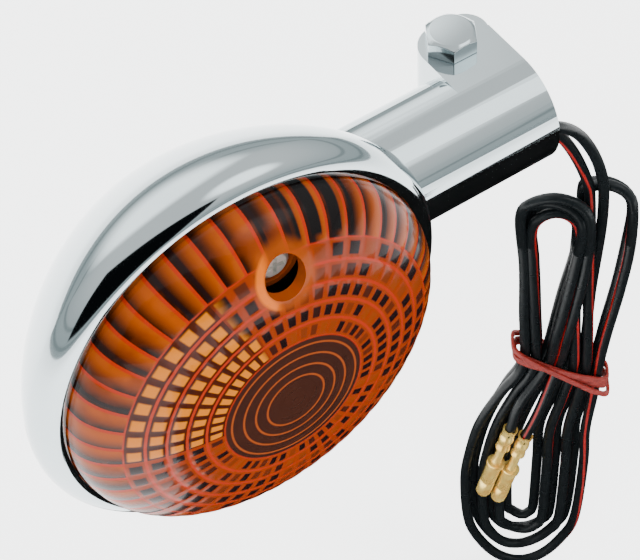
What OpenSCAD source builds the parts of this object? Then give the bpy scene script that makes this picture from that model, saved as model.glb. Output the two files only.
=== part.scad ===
// Motorcycle turn signal: a chrome bowl with a domed lens on a chrome stem.
// Millimetres. The origin is the middle of the clamp mouth at the stem's tail.
// +X leaves the mouth, the lens faces -Y, and +Z is up when the signal is fitted.

/* [Head] */
// Radius of the lens at the chrome rim
lens_r = 40; // [34:0.5:48]
// How far the bowl swells out past the lens
rim_w = 5; // [4:0.1:6]
// How far the widest part of the bowl lies behind the rim
rim_back = 5.5; // [4.5:0.1:6.5]
// Depth behind the rim at which the bowl's side curve would close without its round nose
bowl_depth = 41.3; // [38:0.1:48]
// Fullness of the bowl's back, where 2 is an ellipse
bowl_fullness = 1.523; // [1.45:0.01:1.8]
// Wall of the bowl
bowl_wall = 2.2; // [1.8:0.1:2.6]
// Height of the lens dome above the rim
dome_h = 15.8; // [14.5:0.1:19]
// Fullness of the dome, where 2 is an ellipse
dome_fullness = 2.3; // [2:0.05:2.6]
// Wall of the lens
lens_wall = 2.4; // [1.8:0.1:2.8]
// Radial gap between the lens and the bowl's mouth
lens_gap = 0.15; // [0.1:0.05:0.3]
// Thickness of the lens gasket
gasket_t = 0.8; // [0.6:0.1:1]
// Thickness of the reflector's sheet
sheet_t = 0.8; // [0.6:0.1:1]
// Distance of the screw posts from the head's axis
post_reach = 30; // [28:0.5:31]

/* [Stem] */
// Distance from the clamp mouth to the head's axis
reach = 80.3; // [76:0.1:98]
// Depth of the stem's axis behind the lens rim
stem_back = 20.5; // [18:0.1:24]
// Radius of the stem
stem_r = 12.5; // [11.5:0.1:15]
// Radius of the clamp bore
clamp_r = 8; // [6.6:0.1:9.6]
// Length of the clamp bore
clamp_l = 24; // [18:0.5:26]
// Radius of the passage for the leads
passage_r = 3.6; // [3.4:0.1:3.8]
// Length of the clamp ear along the stem
ear_l = 16.4; // [15.5:0.1:19]
// How far the ear reaches behind the stem's axis
ear_reach = 18.3; // [17.8:0.1:20]
// Width of the clamp's slit
slit_w = 1.5; // [1:0.1:2]

/* [Pinch bolt] */
// Radius of the bolt's shank
bolt_r = 3; // [2.5:0.1:3]
// Hexagon head across its flats
bolt_af = 10; // [8:0.1:11]
// Height of the bolt's head
bolt_head_h = 4; // [3:0.1:5]
// Radial clearance of the bolt in the ear
bolt_gap = 0.05; // [0.03:0.01:0.1]

/* [Bulb and socket] */
// Radius of the bulb's base
base_r = 7.5; // [6.5:0.05:9]
// Radius of the bulb's glass
glass_r = 9.2; // [8.5:0.1:9.6]
// Overall length of the bulb
bulb_l = 36.7; // [35:0.1:37.5]
// How far the bulb is pushed in to release it
push = 2.3; // [1.8:0.1:2.4]
// How far the bulb turns to release it, in degrees
turn = 28; // [20:1:35]
// Wall of the socket's shell
shell_wall = 0.8; // [0.6:0.1:1]

/* [Leads] */
// Diameter of each lead
lead_d = 2.6; // [2.2:0.1:2.6]
// Thickness of the folded hank
hank_t = 7; // [6:0.5:9]
// Width of the rubber band
band_w = 5; // [4:0.5:6]
// Thickness of the rubber band
band_t = 0.9; // [0.6:0.1:1.2]
// Radius of a bullet terminal's barrel
bullet_r = 1.95; // [1.8:0.05:2.1]

/* [Hidden] */
$fn = 64;
eps = 0.01;
cut = 1;                                   // how far a cutter runs past a face

// Heights in the head are measured from the stem's axis towards the lens.
rim_h = stem_back;
wide_h = rim_h - rim_back;
bowl_r = lens_r + rim_w;
bowl_rear = bowl_depth - rim_back;
nose_r = 20;                               // where the bowl's side gives way to its nose
ledge_r = lens_r - 3;                      // inner edge of the ledge that seats the lens
ledge_h = rim_h - 4;                       // top of that ledge
ledge_t = 3;
lens_h = ledge_h + sheet_t + gasket_t;     // foot of the lens skirt
mouth_r = lens_r + lens_gap;
lip_w = 0.8;                               // flat lip around the mouth
shelf_h = ledge_h - 2.5;                   // underside of the reflector's shelf
ring_gap = 0.4;                            // clearance of the reflector inside the ledge

// Screw posts, as angles about the head's axis
lens_post_a = 86;
reflector_post_a = [200, 300];
post_r = 3.6;
thread_r = 1.5;
lens_screw_r = 1.75;
lens_screw_gap = 0.06;
well_r = 4.2;                              // well in the lens over the screw's head
well_depth_h = rim_h + 5.5;                // floor of the well
well_wall = 1.5;
screw_head_r = 3.3;
screw_head_h = 2.4;
tongue_w = 6;                              // locating tongue at the lens's foot
tongue_t = 2;

// Bulb and socket, by height
pip_h = rim_h - 26;
pip_l = 1.2;
pip_r = 1.8;
base_low = pip_h + pip_l;
base_l = 16.3;
base_top = base_low + base_l;
glass_c = pip_h + bulb_l - glass_r;        // centre of the globe
neck_r = base_r - 0.5;
neck_in = 3;                               // how far the neck sits in the base
glass_wall = 0.6;
pin_h = base_low + 6.8;
pin_r = 0.95;
pin_reach = base_r + 1.2;
slide_gap = 0.1;
shell_in = base_r + slide_gap;
shell_out = shell_in + shell_wall;
shell_top = pin_h + 5.5;
shell_low = pip_h - 7;
disc_t = 1;                                // fixed insulator at the back of the socket
plate_t = 1.5;
plate_r = base_r - 0.2;
plate_h = pip_h - 0.3 - plate_t;           // underside of the contact plate
button_r = 2;
spring_wire_r = 0.3;
spring_r = 4.5;
spring_turns = 4;
dish_low = pip_h + 2.5;                    // underside of the reflector's flat bottom
flange_t = 0.8;
flange_r = shell_out + 4.6;
dish_flat_r = flange_r + 0.5;
dish_r = dish_flat_r + 4;
rivet_at = shell_out + 2.5;
rivet_r = 0.9;
filament_h = glass_c - 0.5;
post_gap = 2.2;

// Stem and its seat on the bowl
foot_x = bowl_at(-stem_r) - 2;             // where the stem's foot starts, from the head's axis
pad_x = max(foot_x, dish_r + 2.3);         // inner face of the seat, clear of the reflector
pad_in = -reach + pad_x;
grommet_bore_r = lead_d + 0.7;
grommet_r = grommet_bore_r + 0.9;
grommet_flange_r = grommet_r + 0.9;
stem_screw_r = 2;
stem_screw_gap = 0.2;
stem_screw_head_r = 3.1;
stem_screw_head_h = 2;
stem_screw_z = grommet_flange_r + stem_screw_head_r + 0.4;
seat_x = -reach + bowl_at(0);              // where the stem meets the bowl
thread_end = -clamp_l - 11.5;
core_l = 10;                               // relief behind the clamp bore
core_r = clamp_r + 1.5;
groove_w = 2 * lead_d + 0.6;
lead_z = -(clamp_r + 0.2 + lead_d / 2);    // leads' height under the clamp bore
groove_z = lead_z - lead_d / 2 - 0.2;
lead_y = lead_d / 2 + 0.1;
slit_z = -3;                               // lower face of the slit
slit_l = ear_l + 4;
bolt_x = -9.5;
bolt_y = clamp_r + bolt_r + bolt_gap + 0.85;
ear_corner_in = 6.4;
ear_corner_out = 5;

// Hank of the two leads, as it hangs below the tail
hank_x = 24;
hank_a = -34.3;                            // turn of the hank's flat side about the vertical
band_a = -31;
band_mid = [-7, -104.2];
bullet_l = 13;                             // barrel with its round nose
collar_l = 1.2;
bullet_neck_l = 6;
bullet_neck_r = 1.2;
crimp_l = 8;
bullet_lean = 13.5;
bullet_at = [[-22.1, -139.9], [-18.3, -142.7]];
bullet_sink = 0.2;                         // how far a terminal lies in between the strands

// Routes of the leads: inside the head and the stem, then free to the hank
terminal_y = 0.5 + lead_d / 2 - shell_low; // live lead against its terminal
in_tracer = [[4.3, terminal_y, 0], [8.3, terminal_y - 0.5, 0], [13.3, 9.8, 0], [16.7, 4.3, 0.2],
    [19.1, 1.75, 0.1], [22.3, lead_y, 0], [32, lead_y, 0]];
in_black = [[shell_out + lead_d / 2, 9.3, -3], [12.7, 7.4, -3.4], [15.5, 4.4, -2.6],
    [18.3, -0.6, -1.1], [21.3, -1.2, -0.2], [24.3, -lead_y, 0], [32, -lead_y, 0]];
in_stem = [[-36, -0.4], [-32, -2.6], [-28.5, -6.6], [-25, -9], [-21, lead_z], [-10, lead_z],
    [0, lead_z]];
function inner_route(head, side) = concat([for (p = head) p - [reach, 0, 0]],
                                          [for (p = in_stem) [p[0], side * lead_y, p[1]]]);
route_black = [[0, -lead_y, lead_z], [5, -1.4, -9.8], [10, -1.3, -13], [14.5, -1, -18],
    [18, -0.8, -24], [21, -0.6, -31], [23, -0.6, -38], [23.8, -0.6, -44]];
route_tracer = [[0, lead_y, lead_z], [4, 1.4, -10], [8, 1.4, -13.6], [11.5, 1.4, -18.5],
    [15, 1.4, -25], [18, 1.5, -32], [20.3, 1.6, -38.5], [21.6, 1.6, -44]];

// Outer radius of the bowl at a height behind its widest part
function bowl_at(h) = bowl_r * pow(1 - pow((wide_h - h) / bowl_rear, bowl_fullness),
                                   1 / bowl_fullness);
// The bowl's side curve down to its round nose, and the nose as an arc that meets it smoothly
function bowl_arc(r, dh, n, steps) = let (rn = nose_r, a1 = acos(pow(rn / r, n / 2)),
        d1 = dh * pow(sin(a1), 2 / n), lean = pow(rn / r, n - 1) / r, tip = pow(d1 / dh, n - 1) / dh,
        ball = rn * norm([lean, tip]) / lean, a2 = asin(rn / ball))
    concat([for (i = [0:steps]) let (a = a1 * i / steps)
                [r * pow(cos(a), 2 / n), wide_h - dh * pow(sin(a), 2 / n)]],
           [for (i = [1:6]) let (a = a2 * (1 - i / 6))
                [ball * sin(a), wide_h - d1 - ball * (cos(a) - cos(a2))]]);
// Arc of a superellipse from its widest point to its tip, as [radius, height]
function super_arc(r, h0, dh, n, steps) =
    [for (i = [0:steps]) let (a = 90 * i / steps)
        [r * pow(cos(a), 2 / n), h0 + dh * pow(sin(a), 2 / n)]];
function unit(v) = v / norm(v);
// Smooth curve through the points of a route, with three parts to each span
function along(p) = [for (i = [0:len(p) - 2], j = [0:2]) let (t = j / 3,
        a = p[max(i - 1, 0)], b = p[i], c = p[i + 1], d = p[min(i + 2, len(p) - 1)])
    0.5 * (2 * b + (c - a) * t + (2 * a - 5 * b + 4 * c - d) * t * t
           + (3 * b - a - 3 * c + d) * t * t * t)];
function closed_route(p) = concat(along(p), [p[len(p) - 1]]);
// Side vectors carried along a route, so that its rings don't twist
function sides(t, n, i = 0) = i >= len(t) ? [] :
    let (m = unit(n - t[i] * (n * t[i]))) concat([m], sides(t, m, i + 1));

// A tube of eight sides swept along a route
module tube(route, r) {
    p = closed_route(route);
    n = len(p);
    k = 8;
    t = [for (i = [0:n - 1]) unit(p[min(i + 1, n - 1)] - p[max(i - 1, 0)])];
    s = sides(t, [0.2, 0.3, 1]);
    rings = [for (i = [0:n - 1], j = [0:k - 1])
        let (a = 360 * j / k) p[i] + r * (cos(a) * s[i] + sin(a) * cross(t[i], s[i]))];
    walls = [for (i = [0:n - 2], j = [0:k - 1])
        [i * k + j, i * k + (j + 1) % k, (i + 1) * k + (j + 1) % k, (i + 1) * k + j]];
    polyhedron(rings, concat(walls, [[for (j = [k - 1:-1:0]) j]],
                             [[for (j = [0:k - 1]) (n - 1) * k + j]]), convexity = 6);
}

// Places a shape in the head, with its own +Z towards the lens and +Y up
module in_head() translate([-reach, 0, 0]) rotate([90, 0, 0]) children();
module at_post(a) rotate([0, 0, a]) translate([post_reach, 0, 0]) children();
module along_x(x0, x1, r) translate([x0, 0, 0]) rotate([0, 90, 0]) cylinder(r = r, h = x1 - x0);

// The bowl's outer form, solid, with the bezel from the lip to the widest part
module bowl_form() rotate_extrude() polygon(concat(
    [[0, rim_h], [mouth_r + lip_w, rim_h]],
    [for (i = [1:6]) let (a = 90 * (1 - i / 6))
        [mouth_r + lip_w + (bowl_r - mouth_r - lip_w) * cos(a), wide_h + rim_back * sin(a)]],
    [for (p = bowl_arc(bowl_r, bowl_rear, bowl_fullness, 18)) if (p[1] < wide_h - eps) p]));

module bowl_hollow() rotate_extrude() polygon(concat(
    [[0, rim_h + cut], [mouth_r, rim_h + cut], [mouth_r, ledge_h], [ledge_r, ledge_h],
     [ledge_r, ledge_h - ledge_t]],
    [for (p = bowl_arc(bowl_r - bowl_wall, bowl_rear - bowl_wall, bowl_fullness, 18))
        if (p[1] < ledge_h - ledge_t - 1.5) p]));

module post(top, hole_r, low) difference() {
    translate([0, 0, low]) cylinder(r = post_r, h = top - low);
    translate([0, 0, top - 12]) cylinder(r = hole_r, h = 12 + cut);
}

module stem_holes() {
    for (z = [-stem_screw_z, stem_screw_z]) translate([0, 0, z])
        along_x(pad_in - cut, seat_x + 4, stem_screw_r + stem_screw_gap);
    along_x(pad_in - cut, seat_x + 4, grommet_r);
}

// Chrome bowl: bezel, wall, ledge for the lens, screw posts and the stem's seat
module bowl() color("gainsboro") difference() {
    union() {
        in_head() difference() {
            bowl_form();
            bowl_hollow();
        }
        in_head() intersection() {
            union() {
                at_post(lens_post_a) post(shelf_h, lens_screw_r + lens_screw_gap, -2 * bowl_depth);
                for (a = reflector_post_a) at_post(a) post(shelf_h, thread_r, -2 * bowl_depth);
            }
            bowl_form();
        }
        intersection() {
            along_x(pad_in, seat_x + stem_r, stem_r);
            in_head() bowl_form();
            translate([pad_in, -ledge_h + ledge_t, -stem_r]) cube([bowl_r, 4 * stem_r, 2 * stem_r]);
        }
    }
    stem_holes();
}

// Plan of the clamp ear, with round corners at its outer edge
module ear_plan() {
    translate([-ear_l, 0]) square([ear_l, ear_reach - ear_corner_in]);
    translate([-ear_l + ear_corner_in, 0])
        square([ear_l - ear_corner_in - ear_corner_out, ear_reach]);
    translate([-ear_l + ear_corner_in, ear_reach - ear_corner_in]) circle(ear_corner_in);
    translate([-ear_corner_out, ear_reach - ear_corner_out]) circle(ear_corner_out);
}

// Chrome stem: its foot is cut to the bowl, and its tail is a split clamp
module stem() color("silver") difference() {
    union() {
        along_x(-reach + foot_x, 0, stem_r);
        translate([0, 0, -stem_r]) linear_extrude(2 * stem_r) ear_plan();
    }
    in_head() bowl_form();
    along_x(-clamp_l, cut, clamp_r);
    along_x(-clamp_l - core_l, -clamp_l, core_r);
    along_x(-reach, -clamp_l, passage_r);
    translate([-clamp_l - core_l, -groove_w / 2, groove_z])
        cube([clamp_l + core_l + cut, groove_w, -groove_z]);
    translate([-slit_l, 0, slit_z]) cube([slit_l + cut, ear_reach + cut, slit_w]);
    translate([bolt_x, bolt_y, -stem_r - cut])
        cylinder(r = bolt_r + bolt_gap, h = 2 * stem_r + 2 * cut);
    for (z = [-stem_screw_z, stem_screw_z]) translate([0, 0, z])
        along_x(-reach, thread_end, stem_screw_r);
}

// Two screws that draw the stem's foot on to the bowl
module stem_screws() color("lightgray")
    for (z = [-stem_screw_z, stem_screw_z]) translate([0, 0, z]) difference() {
        union() {
            along_x(pad_in - stem_screw_head_h, pad_in, stem_screw_head_r);
            along_x(pad_in - eps, thread_end - 0.5, stem_screw_r);
        }
        translate([pad_in - stem_screw_head_h - cut, -0.4, -2]) cube([cut + 1, 0.8, 4]);
        translate([pad_in - stem_screw_head_h - cut, -2, -0.4]) cube([cut + 1, 4, 0.8]);
    }

// Rubber grommet where the leads leave the bowl
module stem_grommet() color("dimgray") difference() {
    union() {
        along_x(pad_in - 1, pad_in, grommet_flange_r);
        along_x(pad_in - eps, pad_in + 5, grommet_r);
    }
    along_x(pad_in - 2, pad_in + 6, grommet_bore_r);
}

// Pressed reflector: rim flange, shelf, and a dish around the socket
module reflector() color("whitesmoke") in_head() difference() {
    rotate_extrude() polygon(concat(
        [[lens_r - 0.4, ledge_h], [lens_r - 0.4, ledge_h + sheet_t],
         [ledge_r - ring_gap - sheet_t, ledge_h + sheet_t],
         [ledge_r - ring_gap - sheet_t, shelf_h + sheet_t]],
        [for (i = [0:8]) let (t = 1 - i / 8) [dish_flat_r + (dish_r - dish_flat_r) * t,
            dish_low + sheet_t + (shelf_h - dish_low) * t * t]],
        [[shell_out + slide_gap, dish_low + sheet_t], [shell_out + slide_gap, dish_low]],
        [for (i = [0:8]) let (t = i / 8) [dish_flat_r + sheet_t + (dish_r - dish_flat_r) * t,
            dish_low + (shelf_h - dish_low) * t * t]],
        [[ledge_r - ring_gap, shelf_h], [ledge_r - ring_gap, ledge_h]]));
    at_post(lens_post_a) translate([0, 0, shelf_h - cut]) cylinder(r = 2.2, h = sheet_t + 2 * cut);
    for (a = reflector_post_a) at_post(a)
        translate([0, 0, shelf_h - cut]) cylinder(r = thread_r + 0.2, h = sheet_t + 2 * cut);
    translate([-tongue_w / 2 - 0.5, -lens_r, shelf_h - cut])
        cube([tongue_w + 1, 2 * (tongue_t + ring_gap) + 3.4, 2 * ledge_t]);
    for (a = [45, 225]) rotate([0, 0, a]) translate([rivet_at, 0, dish_low - cut])
        cylinder(r = rivet_r, h = sheet_t + 2 * cut);
}

// Two screws that hold the reflector to its posts
module reflector_screws() color("lightgray") in_head()
    for (a = reflector_post_a) at_post(a) difference() {
        union() {
            translate([0, 0, shelf_h + sheet_t]) cylinder(r = 2.8, h = 1.8);
            translate([0, 0, shelf_h - 9]) cylinder(r = thread_r, h = 9 + sheet_t + eps);
        }
        translate([-2, -0.4, shelf_h + sheet_t + 1]) cube([4, 0.8, 2]);
        translate([-0.4, -2, shelf_h + sheet_t + 1]) cube([0.8, 4, 2]);
    }

// Flat rubber ring under the lens
module lens_gasket() color("black") in_head() difference() {
    translate([0, 0, ledge_h + sheet_t]) cylinder(r = lens_r - 0.3, h = gasket_t);
    translate([0, 0, ledge_h]) cylinder(r = lens_r - lens_wall + 0.2, h = 3 * sheet_t + gasket_t);
}

module dome(r, h) rotate_extrude() polygon(concat(
    [[0, lens_h], [r, lens_h]],
    super_arc(r, rim_h, h, dome_fullness, 20)));

// Amber lens: dome, skirt, screw well with its column, and a locating tongue
module lens() color("darkorange", 0.9) in_head() difference() {
    union() {
        difference() {
            dome(lens_r, dome_h);
            difference() {
                translate([0, 0, -eps]) dome(lens_r - lens_wall, dome_h - lens_wall + eps);
                at_post(lens_post_a) translate([0, 0, well_depth_h - well_wall])
                    cylinder(r = well_r + well_wall, h = dome_h);
            }
        }
        at_post(lens_post_a) translate([0, 0, shelf_h + sheet_t + 0.4])
            cylinder(r = screw_head_r + 0.6, h = well_depth_h - shelf_h - sheet_t - 0.9);
        translate([-tongue_w / 2, -ledge_r + ring_gap, lens_h - 5]) cube([tongue_w, tongue_t, 8]);
        translate([-tongue_w / 2, -ledge_r - 1, lens_h]) cube([tongue_w, tongue_t + 1, 2.5]);
    }
    at_post(lens_post_a) translate([0, 0, well_depth_h]) cylinder(r = well_r, h = 2 * dome_h);
    at_post(lens_post_a) cylinder(r = lens_screw_r + lens_screw_gap, h = 3 * dome_h);
}

// Cross-head screw in the lens's well
module lens_screw() color("silver") in_head() at_post(lens_post_a) difference() {
    union() {
        translate([0, 0, well_depth_h + 0.05]) cylinder(r = screw_head_r, h = screw_head_h - 0.6);
        translate([0, 0, well_depth_h + screw_head_h - 0.56])
            cylinder(r1 = screw_head_r, r2 = screw_head_r - 0.8, h = 0.6);
        translate([0, 0, shelf_h - 10]) cylinder(r = lens_screw_r, h = well_depth_h - shelf_h + 10.1);
    }
    for (a = [0, 90]) rotate([0, 0, a])
        translate([-2.1, -0.45, well_depth_h + screw_head_h - 1]) cube([4.2, 0.9, 2]);
}

// A sector of a ring, from one angle to another, less than half a turn
module sector(r_in, r_out, a0, a1, h) rotate([0, 0, a0])
    rotate_extrude(angle = a1 - a0) translate([r_in, 0]) square([r_out - r_in, h]);

// Plated steel shell of the bulb socket, with two bayonet windows and a flange
module socket_shell() color("darkkhaki") in_head() difference() {
    union() {
        translate([0, 0, shell_low]) cylinder(r = shell_out, h = shell_top - shell_low);
        translate([0, 0, dish_low - flange_t]) cylinder(r = flange_r, h = flange_t);
    }
    translate([0, 0, shell_low - cut]) cylinder(r = shell_in, h = shell_top - shell_low + 2 * cut);
    for (s = [0, 180]) rotate([0, 0, s]) {
        translate([0, 0, pin_h - pin_r - push - 0.2])
            sector(shell_in - 1, shell_out + 0.5, -8, turn + 9, 2 * pin_r + push + 0.35);
        translate([0, 0, pin_h])
            sector(shell_in - 1, shell_out + 1, turn - 7.5, turn + 7.5, shell_top - pin_h + cut);
    }
    for (a = [45, 225]) rotate([0, 0, a])
        translate([rivet_at, 0, dish_low - 3]) cylinder(r = rivet_r, h = 6);
}

// Fixed insulating disc in the back of the socket
module socket_insulator() color("saddlebrown") in_head() difference() {
    translate([0, 0, shell_low]) cylinder(r = shell_in, h = disc_t);
    translate([0, 0, shell_low - cut]) cylinder(r = 1, h = disc_t + 2 * cut);
}

// Two rivets through the socket's flange and the reflector
module socket_rivets() color("lightgray") in_head()
    for (a = [45, 225]) rotate([0, 0, a]) translate([rivet_at, 0, 0]) {
        translate([0, 0, dish_low - flange_t]) cylinder(r = rivet_r, h = flange_t + sheet_t);
        translate([0, 0, dish_low + sheet_t]) cylinder(r1 = 1.6, r2 = 1.1, h = 0.7);
        translate([0, 0, dish_low - flange_t - 0.6]) cylinder(r = 1.5, h = 0.6);
    }

// Brass terminal riveted to the fixed disc, for the live lead
module live_terminal() color("goldenrod") in_head() {
    translate([0, 0, shell_low - 0.5]) cylinder(r = 2.6, h = 0.5);
    translate([0, 0, shell_low - eps]) cylinder(r = 1, h = disc_t + 0.4);
    translate([1.5, -1.3, shell_low - 0.5]) cube([4, 2.6, 0.5]);
}

// Sliding insulating plate that carries the contact button
module contact_plate() color("peru") in_head() difference() {
    translate([0, 0, plate_h]) cylinder(r = plate_r, h = plate_t);
    translate([0, 0, plate_h - cut]) cylinder(r = button_r, h = plate_t + 2 * cut);
}

module contact_button() color("goldenrod") in_head() {
    translate([0, 0, plate_h - 0.3]) cylinder(r = button_r, h = plate_t + 0.3);
    translate([0, 0, plate_h + plate_t - eps]) cylinder(r1 = button_r, r2 = button_r - 0.6, h = 0.25);
}

// Coil spring under the contact plate, as stacked rings
module contact_spring() color("gray") in_head() {
    low = shell_low + disc_t;
    gap = (plate_h - low - 2 * spring_wire_r) / (spring_turns - 1);
    for (i = [0:spring_turns - 1]) translate([0, 0, low + spring_wire_r + i * gap])
        rotate_extrude() translate([spring_r, 0]) circle(spring_wire_r, $fn = 16);
}

// Clear globe of the bulb with its neck
module bulb_glass() color("white", 0.5) in_head() difference() {
    union() {
        translate([0, 0, glass_c]) sphere(glass_r);
        translate([0, 0, base_top - neck_in]) cylinder(r = neck_r, h = glass_c - base_top + neck_in);
    }
    translate([0, 0, glass_c]) sphere(glass_r - glass_wall);
    translate([0, 0, base_top - neck_in - cut])
        cylinder(r = neck_r - glass_wall, h = glass_c - base_top + neck_in);
}

// Bayonet base of the bulb with its two pins
module bulb_base() color("khaki") in_head() {
    difference() {
        translate([0, 0, base_low]) cylinder(r = base_r, h = base_l);
        translate([0, 0, base_low + 2]) cylinder(r = base_r - 0.5, h = base_l);
    }
    for (s = [0, 180]) rotate([0, 0, s]) translate([base_r - 0.3, 0, pin_h])
        rotate([0, 90, 0]) cylinder(r = pin_r, h = pin_reach - base_r + 0.3);
}

module bulb_pip() color("silver") in_head()
    translate([0, 0, pip_h]) cylinder(r1 = pip_r - 0.6, r2 = pip_r, h = pip_l);

// Glass stem inside the bulb with its two support wires
module bulb_stem() color("lightgray") in_head() {
    translate([0, 0, base_low + 2]) cylinder(r = 2.6, h = base_l - 1);
    for (s = [-1, 1]) translate([s * post_gap, 0, base_top + 1 - eps])
        cylinder(r = 0.3, h = filament_h - base_top - 1);
}

module bulb_filament() color("gray") in_head()
    translate([-post_gap, 0, filament_h + 0.3]) rotate([0, 90, 0])
        cylinder(r = 0.3, h = 2 * post_gap);

module inner_lead_black() color("black") tube(inner_route(in_black, -1), lead_d / 2);
module inner_lead_tracer() color("#2a1414") tube(inner_route(in_tracer, 1), lead_d / 2);
module lead_black() color("black") tube(route_black, lead_d / 2);
module lead_tracer() color("#2a1414") tube(route_tracer, lead_d / 2);

// Hexagon bolt across the clamp's slit
module pinch_bolt() color("silver") translate([bolt_x, bolt_y, 0]) {
    intersection() {
        translate([0, 0, stem_r + 0.05]) cylinder(r = bolt_af / sqrt(3), h = bolt_head_h, $fn = 6);
        translate([0, 0, stem_r]) union() {
            cylinder(r = bolt_af, h = bolt_head_h - 1.2);
            translate([0, 0, bolt_head_h - 1.2])
                cylinder(r1 = bolt_af / 2 + 1.3, r2 = bolt_af / 2 - 0.8, h = 1.4);
        }
    }
    translate([0, 0, -stem_r + 1]) cylinder(r = bolt_r, h = 2 * stem_r - 0.9);
}

// Puts a flat outline into the hank's plane, with +Z towards its front
module in_hank() translate([hank_x, 0, 0]) rotate([0, 0, hank_a]) rotate([90, 0, 0]) children();

// Outline of the hank: two folds at the top, a waist, and one loop below
module hank_outline(grow = 0) {
    hull() {
        translate([-10.4, -50.4]) circle(9 + grow, $fn = 28);
        translate([-0.6, -50.6]) circle(9 + grow, $fn = 28);
        translate([-14.2, -97]) circle(3 + grow, $fn = 16);
        translate([0.2, -106.5]) circle(3 + grow, $fn = 16);
    }
    hull() {
        translate([-14.2, -97]) circle(3 + grow, $fn = 16);
        translate([0.2, -106.5]) circle(3 + grow, $fn = 16);
        translate([-20.6, -160]) circle(10.5 + grow, $fn = 28);
        translate([-14.8, -177]) circle(13 + grow, $fn = 28);
        translate([-7, -150]) circle(9 + grow, $fn = 28);
    }
}

module wire_hank() color("#202020") in_hank()
    translate([0, 0, -hank_t / 2]) linear_extrude(hank_t) hank_outline();

// Rubber band around the hank's waist
module hank_band() color("firebrick") in_hank() difference() {
    intersection() {
        translate([0, 0, -hank_t / 2 - band_t]) linear_extrude(hank_t + 2 * band_t)
            hank_outline(band_t);
        translate(band_mid) rotate([0, 0, band_a]) cube([60, band_w, 40], center = true);
    }
    translate([0, 0, -hank_t / 2]) linear_extrude(hank_t) hank_outline();
}

// Brass bullet terminal: round nose, barrel, collar, and the crimp on the lead
module bullet(at) in_hank()
    translate([at[0], at[1], hank_t / 2 + bullet_r - bullet_sink])
    rotate([0, 0, -bullet_lean - 90]) rotate([0, 90, 0]) {
        translate([0, 0, bullet_l - bullet_r]) sphere(bullet_r);
        cylinder(r = bullet_r, h = bullet_l - bullet_r);
        translate([0, 0, -collar_l]) cylinder(r = bullet_r + 0.35, h = collar_l + eps);
        translate([0, 0, -collar_l - bullet_neck_l])
            cylinder(r = bullet_neck_r, h = bullet_neck_l + eps);
        translate([0, 0, -collar_l - bullet_neck_l - crimp_l])
            cylinder(r = bullet_r - 0.2, h = crimp_l + eps);
    }
module bullet_black() color("gold") bullet(bullet_at[0]);
module bullet_tracer() color("gold") bullet(bullet_at[1]);

bowl();
stem();
stem_screws();
stem_grommet();
reflector();
reflector_screws();
lens_gasket();
lens();
lens_screw();
socket_shell();
socket_insulator();
socket_rivets();
live_terminal();
contact_plate();
contact_button();
contact_spring();
bulb_glass();
bulb_base();
bulb_pip();
bulb_stem();
bulb_filament();
inner_lead_black();
inner_lead_tracer();
pinch_bolt();
lead_black();
lead_tracer();
wire_hank();
hank_band();
bullet_black();
bullet_tracer();
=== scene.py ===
"""A motorcycle turn signal: chrome bowl and stem, amber lens, and two leads tied in a hank."""
import math

import bmesh
import bpy
import numpy as np
from mathutils import Matrix, Vector


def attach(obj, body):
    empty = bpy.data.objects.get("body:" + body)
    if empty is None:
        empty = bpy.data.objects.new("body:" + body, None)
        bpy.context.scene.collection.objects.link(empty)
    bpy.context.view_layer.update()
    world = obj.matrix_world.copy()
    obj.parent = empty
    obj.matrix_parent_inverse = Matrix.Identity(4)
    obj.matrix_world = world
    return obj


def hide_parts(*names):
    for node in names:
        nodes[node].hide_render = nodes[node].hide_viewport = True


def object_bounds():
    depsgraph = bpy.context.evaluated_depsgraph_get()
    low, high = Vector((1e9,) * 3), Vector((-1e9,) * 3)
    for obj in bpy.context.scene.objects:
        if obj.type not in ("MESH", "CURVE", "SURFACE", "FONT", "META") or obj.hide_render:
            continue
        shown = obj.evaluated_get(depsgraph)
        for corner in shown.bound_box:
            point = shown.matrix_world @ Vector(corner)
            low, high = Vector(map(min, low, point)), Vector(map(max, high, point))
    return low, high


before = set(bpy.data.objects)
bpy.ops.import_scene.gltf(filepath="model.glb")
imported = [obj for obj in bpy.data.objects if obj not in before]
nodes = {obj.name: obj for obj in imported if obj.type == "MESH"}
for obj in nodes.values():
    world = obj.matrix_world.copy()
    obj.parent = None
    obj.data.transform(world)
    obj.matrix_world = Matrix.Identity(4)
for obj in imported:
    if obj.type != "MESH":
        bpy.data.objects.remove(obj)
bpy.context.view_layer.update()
MM = 0.001

# ---------------------------------------------------------------- camera
# The signal is seen from in front, above and left of the lens, with a long lens.
camera = bpy.data.objects.new("camera", bpy.data.cameras.new("camera"))
bpy.context.scene.collection.objects.link(camera)
sight = Vector((0.338, 0.540, -0.771)).normalized()
side = sight.cross(Vector((0.452, 0.625, 0.636))).normalized()
turned = Matrix((side, side.cross(sight), -sight)).transposed().to_4x4()
camera.matrix_world = Matrix.Translation((-0.2238, -0.2760, 0.3728)) @ turned
camera.data.lens = 140.6
camera.data.sensor_width = 36
camera.data.clip_start = 0.01
bpy.context.scene.camera = camera

# ---------------------------------------------------------------- the two leads
# Two PVC leads of 2.6 mm leave the clamp's groove. The earth is black, and the live lead has a
# red tracer moulded along it. Both run side by side and are folded three times into one hank.


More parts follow.
